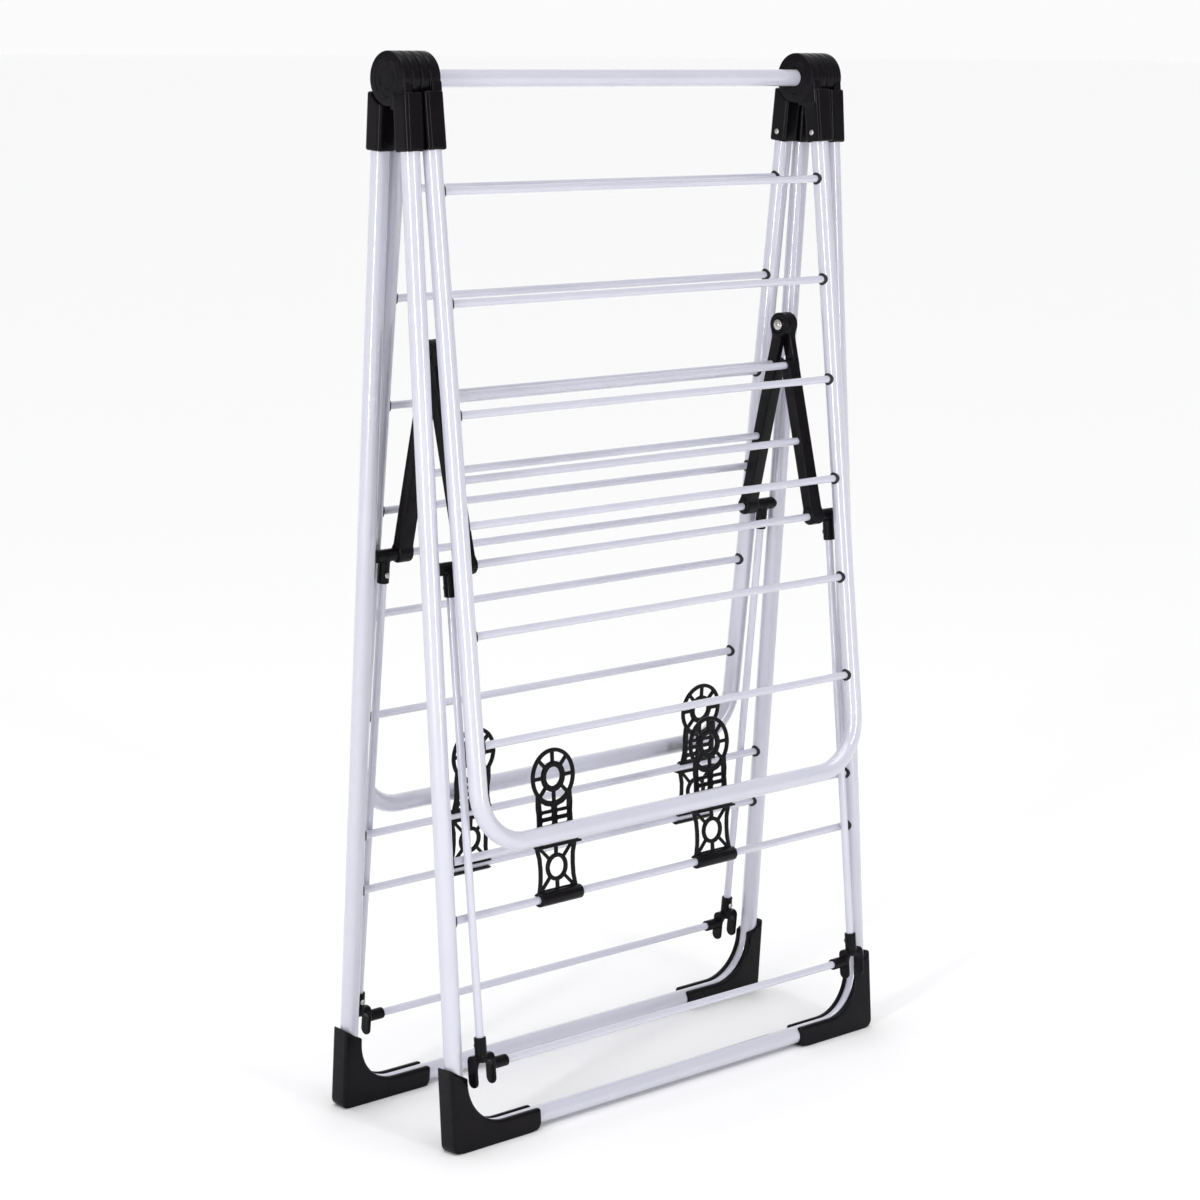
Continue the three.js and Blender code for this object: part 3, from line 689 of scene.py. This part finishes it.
def prop_bracket():
    """Sockets for the upright and the cross rod over a fork that takes a wing's tube."""
    middle = (PRONG_IN + PRONG_OUT) / 2
    gap = (PRONG_OUT - PRONG_IN) / 2 - PRONG_THICKNESS
    saddle = -BRACKET_SOCKET_END + 3

    def field(x, o, w):
        flat = both(strut(o, w, (0, -BRACKET_END + PRONG_HALF_DEPTH), (0, saddle + 6), PRONG_HALF_DEPTH),
                    w - (saddle + 12), 0.6)
        fork = both(flat, span(x, PRONG_IN, PRONG_OUT), 0.7)
        below_arch = w - saddle + 2
        arch_sides = both(span(x, middle - gap, middle + gap), below_arch)
        arch = np.minimum(length(x - middle, below_arch) - gap, arch_sides)
        fork = cut(fork, arch, 0.6)
        socket = bar(w, x - PROP_X, o, saddle + 4, -BRACKET_TOP, STEM_RADIUS, 0.7)
        boss = bar(-o, x - PROP_X, w + BRACKET_TOP + 9, 0, STEM_RADIUS + 0.3, 3.6, 0.4)
        side = bar(x, o, w + CROSS_ROD_DOWN, CROSS_SOCKET_X, PRONG_IN + 2, CROSS_SOCKET_RADIUS, 0.8)
        whole = blended(blended(fork, socket, 1.2), side, 1.2)
        whole = blended(whole, boss, 0.6)
        mouth = bar(w, x - PROP_X, o, -BRACKET_TOP - 4, -BRACKET_TOP + 3, ROD_RADIUS + 0.15, 0)
        side_ends = (CROSS_SOCKET_X - 3, CROSS_SOCKET_X + 4)
        side_mouth = bar(x, o, w + CROSS_ROD_DOWN, *side_ends, ROD_RADIUS + 0.15, 0)
        return cut(whole, np.minimum(mouth, side_mouth), 0.4)

    low = (CROSS_SOCKET_X, -PRONG_HALF_DEPTH, -BRACKET_END)
    high = (PRONG_OUT, PRONG_HALF_DEPTH, -BRACKET_TOP)
    return surface(field, low, high, 0.55, 0.35)


# ---- shoe holders ----
TOE_UP, TOE_RADIUS = 122, 29
HEEL_UP = 29.5
SOLE_EDGE = [(27.5, 2), (26, 9), (24.4, 18), (23.9, 29), (24.6, 40), (27, 49), (28, 54), (28.5, 60),
             (25.5, 66), (23.6, 74), (23.2, 84), (24.2, 93)]


def sole_lattice(u, v):
    """The sole in its own plane: rims, rings, spokes and ribs."""
    edge = SOLE_EDGE + arc(0, TOE_UP, TOE_RADIUS, -36, 216, 36) + [(-a, b) for a, b in reversed(SOLE_EDGE)]
    outline = polygon(u, v, edge)
    toe, heel = length(u, v - TOE_UP), length(u, v - HEEL_UP)
    mirrored_u = np.abs(u)
    heel_edge = [(-9, 8.5), (22, 8.5), (20, 18), (19.6, 29), (20.3, 41), (23, 51.5), (-9, 51.5)]
    lower_window = polygon(mirrored_u, v, heel_edge)
    windows = np.minimum(toe - 24.8, lower_window)
    for up in (67.5, 75.5, 83.5):
        slot = both(span(mirrored_u, 3, 17.5), span(v, up - 1.8, up + 1.8), 1.7)
        windows = np.minimum(windows, slot)
    wedge = polygon(mirrored_u, v, [(3, 88.5), (17.8, 88.5), (18.2, 98), (11, 93.6), (3, 91.6)])
    windows = np.minimum(windows, wedge + 0.4)
    lattice = np.minimum(np.abs(toe - 12.7) - 3.0, np.abs(heel - 12.1) - 2.2)
    for k in range(8):
        turn = math.pi * k / 4
        reach = (27 * math.cos(turn), TOE_UP + 27 * math.sin(turn))
        start = (12 * math.cos(turn), TOE_UP + 12 * math.sin(turn))
        lattice = np.minimum(lattice, strut(u, v, start, reach, 1.9))
    for up in (52, 7):
        near = HEEL_UP + math.copysign(12, up - HEEL_UP)
        lattice = np.minimum(lattice, strut(mirrored_u, v, (0, near), (0, up), 2.0))
        slanted_from = (8.6, near - math.copysign(3.5, up - HEEL_UP))
        lattice = np.minimum(lattice, strut(mirrored_u, v, slanted_from, (22.5, up), 1.7))
    toe_hole, heel_hole = toe - 9.7, heel - 9.9
    openings = both(windows, -lattice)
    openings = np.minimum(openings, np.minimum(toe_hole, heel_hole))
    return both(outline, -openings, 0.6)


def shoe_holder():
    """Clipped round the lower rod at w = 0, with a saddle and a ledge at the upper rod."""
    upper = LEG_RODS["rod_lower"] - LEG_RODS["rod_upper"]
    ledge_top = upper - ROD_RADIUS - 0.3
    saddle_x = (-SADDLE_HALF_WIDTH, SADDLE_HALF_WIDTH)

    def field(x, o, w):
        sole = both(sole_lattice(x, w), span(o, SOLE_INNER, SOLE_INNER + SOLE_THICKNESS), 0.7)
        clip = bar(x, o, w, -28, 28, CLIP_RADIUS, 0.6)
        saddle = both(bar(x, o, w - upper, *saddle_x, SADDLE_RADIUS, 0.6), SOLE_INNER - o, 0.4)
        ledge = block(x, o, w, (-29, 29), (SOLE_INNER, SADDLE_RADIUS - 1), (ledge_top - 2.4, ledge_top), 0.5)
        whole = np.minimum(sole, blended(clip, np.minimum(saddle, ledge), 0.5))
        for rod_up in (0, upper):
            rod_room = length(o, w - rod_up) - ROD_RADIUS - 0.15
            mouth = both(span(w, rod_up - 3.2, rod_up + 3.2), o)
            whole = cut(whole, np.minimum(rod_room, mouth), 0.4)
        return whole

    low = (-TOE_RADIUS, -CLIP_RADIUS, -CLIP_RADIUS)
    high = (TOE_RADIUS, CLIP_RADIUS, TOE_UP + TOE_RADIUS)
    return surface(field, low, high, 0.6, 0.22)


# ---- the rack ----
SOCKET_SCREW_DOWN = 59.5


def add_frame_tube(name, frame_matrix, side, x, offset, end, rods_down):
    """A U-shaped tube and one rubber piece with the grommets of all its cross rods."""
    place = lambda shape: mirrored(moved(shape, frame_matrix), 1, side)
    dressed(f"{name}_frame", place(u_frame(x, offset, TUBE_TOP, end)), WHITE)
    rings = [grommet(x, offset, -down) for down in rods_down]
    rings += [mirrored(ring, -1, 1) for ring in rings]
    piece(f"{name}_grommets", place(joined(rings)), RUBBER, BODY_OF[f"{name}_frame"], "black_plastic")


def add_sockets(name, partner, frame_matrix, side, x, offset, screws):
    shape = hinge_socket(name, partner, x, offset)
    heads = [screw(x - SLEEVE_HALF, offset, -SOCKET_SCREW_DOWN, (-1, 0, 0))] if screws else []
    for end_name, end in ENDS.items():
        node = f"{name}_socket_{end_name}"
        dressed(node, mirrored(moved(shape, frame_matrix), end, side), BLACK)
        for head in heads:
            head_shape = mirrored(moved(head, frame_matrix), end, side)
            piece(f"{node}_screw", head_shape, ZINC, BODY_OF[node], "screws")


def add_leg(side_name, foot_shape):
    side, name = SIDES[side_name], f"{side_name}_leg"
    partner = "back_leg" if side_name == "front" else "front_leg"
    rods = {**LEG_RODS, "pivot_rod": PIVOT_DOWN}
    add_frame_tube(name, LEG, side, LEG_X, LEG_OFFSET, LEG_END, rods.values())
    for rod_name, down in rods.items():
        dressed(f"{name}_{rod_name}", mirrored(moved(rod(LEG_X, LEG_OFFSET, -down), LEG), 1, side), WHITE)
    add_sockets(name, partner, LEG, side, LEG_X, LEG_OFFSET, screws=False)
    for end_name, end in ENDS.items():
        dressed(f"{name}_foot_{end_name}", mirrored(moved(foot_shape, LEG), end, side), BLACK)


def add_wing(side_name):
    side, name = SIDES[side_name], f"{side_name}_wing"
    partner = "back_wing" if side_name == "front" else "front_wing"
    downs = [WING_ROD_FIRST + i * WING_ROD_PITCH for i in range(WING_RODS)]
    add_frame_tube(name, WING, side, WING_X, WING_OFFSET, WING_END, downs)
    for i, down in enumerate(downs):
        dressed(f"{name}_rod_{i + 1}", mirrored(moved(rod(WING_X, WING_OFFSET, -down), WING), 1, side), WHITE)
    add_sockets(name, partner, WING, side, WING_X, WING_OFFSET, screws=True)


def add_shelf(side_name):
    side = SIDES[side_name]
    arm = shelf_arm(side_name)
    for i, up in enumerate(SHELF_RODS):
        shape = mirrored(moved(rod(ARM_IN + 2, 0, up), ARM), 1, side)
        dressed(f"{side_name}_shelf_rod_{i + 1}", shape, WHITE)
    for end_name, end in ENDS.items():
        dressed(f"{side_name}_shelf_arm_{end_name}", mirrored(moved(arm, ARM), end, side), BLACK)
        if side_name == "back":
            depths = [(0.2, 0), (0.2, 5.6), (1.2, 5.6), (1.6, 5.0), (1.6, 0)]
            collar = lathed([(ARM_IN - depth, radius) for depth, radius in depths], 32)
            collar = (collar[0], [tuple(reversed(face)) for face in collar[1]])
            head = joined([shifted(collar, 0, 0, ARM_LENGTH), screw(ARM_IN - 1.6, 0, ARM_LENGTH, (-1, 0, 0))])
            dressed(f"centre_hinge_screw_{end_name}", mirrored(moved(head, ARM), end, side), ZINC)


def add_prop(side_name, tee, bracket):
    side = SIDES[side_name]
    place = lambda shape, end=1: mirrored(moved(shape, PROP), end, side)
    cross = rod(PRONG_IN - 1, 0, -CROSS_ROD_DOWN)
    dressed(f"{side_name}_prop_cross_rod", place(cross), WHITE)
    tube = straight((PROP_X, 0, -BRACKET_TOP - 3), (PROP_X, 0, -STEM_LENGTH + 3), ROD_RADIUS)
    screw_out = STEM_RADIUS + 0.2
    for end_name, end in ENDS.items():
        upright = f"{side_name}_prop_upright_{end_name}"
        dressed(upright, place(tube, end), WHITE)
        piece(f"{side_name}_prop_tee_{end_name}", place(tee, end), BLACK, BODY_OF[upright], "black_plastic")
        node = f"{side_name}_prop_bracket_{end_name}"
        dressed(node, place(bracket, end), BLACK)
        heads = joined([screw(PROP_X, -screw_out, -STEM_LENGTH + 9, (0, -1, 0)),
                        screw(PROP_X, -screw_out, -BRACKET_TOP - 9, (0, -1, 0))])
        piece(f"{side_name}_prop_screws_{end_name}", place(heads, end), ZINC, BODY_OF[node], "screws")


def add_holders():
    shape = shoe_holder()
    for node, (side_name, x) in SOLE_CENTRES.items():
        placed = moved(shifted(shape, x, LEG_OFFSET, -LEG_RODS["rod_lower"]), LEG)
        dressed(node, mirrored(placed, 1, SIDES[side_name]), BLACK)


def add_top_rod():
    dressed("top_rod", moved(rod(LOBES["front_wing"][0] + 1, 0, 0, TOP_ROD_RADIUS, 40), UPRIGHT), WHITE)


foot_shape, tee_shape, bracket_shape = foot(), prop_tee(), prop_bracket()
for side_name in SIDES:
    add_leg(side_name, foot_shape)
    add_wing(side_name)
    add_shelf(side_name)
    add_prop(side_name, tee_shape, bracket_shape)
add_holders()
add_top_rod()


# ---- floor, light and camera ----
BACKDROP_TOWARDS = (0.68, 0.73, 0.0)
OVERHEAD_STRENGTH = 1.95
FLOOR_COLOUR = (0.93, 0.93, 0.93)


def add_floor():
    reach = 400
    mesh = bpy.data.meshes.new("floor")
    corners = [(-reach, -reach, 0), (reach, -reach, 0), (reach, reach, 0), (-reach, reach, 0)]
    mesh.from_pydata(corners, [], [(0, 1, 2, 3)])
    paper, *_ = material("floor_paper", FLOOR_COLOUR, 0.9)
    mesh.materials.append(paper)
    floor = bpy.data.objects.new("floor", mesh)
    bpy.context.scene.collection.objects.link(floor)


def add_softbox(name, place, target, size, power):
    light = bpy.data.lights.new(name, "AREA")
    light.shape = "RECTANGLE"
    light.size, light.size_y = size
    light.energy = power
    lamp = bpy.data.objects.new(name, light)
    lamp.location = place
    lamp.rotation_euler = (Vector(target) - Vector(place)).to_track_quat("-Z", "Y").to_euler()
    bpy.context.scene.collection.objects.link(lamp)


def add_studio():
    """A dim room with a bright backdrop behind the rack, above the floor's far edge."""
    world = bpy.data.worlds.new("studio")
    world.use_nodes = True
    tree = world.node_tree
    place = tree.nodes.new("ShaderNodeTexCoord")
    towards = tree.nodes.new("ShaderNodeVectorMath")
    towards.operation = "DOT_PRODUCT"
    towards.inputs[1].default_value = BACKDROP_TOWARDS
    tree.links.new(place.outputs["Generated"], towards.inputs[0])
    glow = ramp(tree, towards.outputs["Value"], [(0.6, (0.36, 0.36, 0.37)), (0.9, (0.97, 0.97, 0.97))])
    tree.links.new(glow, tree.nodes["Background"].inputs["Color"])
    bpy.context.scene.world = world


def add_lights():
    middle = (0, 0, 0.5)
    add_softbox("key", (-3.4, -1.1, 1.0), middle, (0.22, 3.0), 52)
    add_softbox("fill", (-0.1, -3.6, 1.0), middle, (0.22, 3.0), 38)
    light = bpy.data.lights.new("overhead", "SUN")
    light.energy = OVERHEAD_STRENGTH
    light.angle = math.radians(70)
    lamp = bpy.data.objects.new("overhead", light)
    bpy.context.scene.collection.objects.link(lamp)


CAMERA_PLACE = (-2.0962, -2.2445, 1.0664)
CAMERA_YAW = 42.737
CAMERA_PITCH = -10.365
CAMERA_ROLL = 0.373
CAMERA_LENS = 90.0


def add_camera():
    data = bpy.data.cameras.new("camera")
    data.lens = CAMERA_LENS
    data.sensor_width = 36
    camera = bpy.data.objects.new("camera", data)
    turn = Matrix.Rotation(math.radians(-CAMERA_YAW), 4, "Z")
    turn = turn @ Matrix.Rotation(math.radians(90 + CAMERA_PITCH), 4, "X")
    turn = turn @ Matrix.Rotation(math.radians(CAMERA_ROLL), 4, "Z")
    camera.matrix_world = Matrix.Translation(CAMERA_PLACE) @ turn
    bpy.context.scene.collection.objects.link(camera)
    bpy.context.scene.camera = camera


add_floor()
add_studio()
add_lights()
add_camera()
bpy.context.scene.view_settings.view_transform = "Standard"
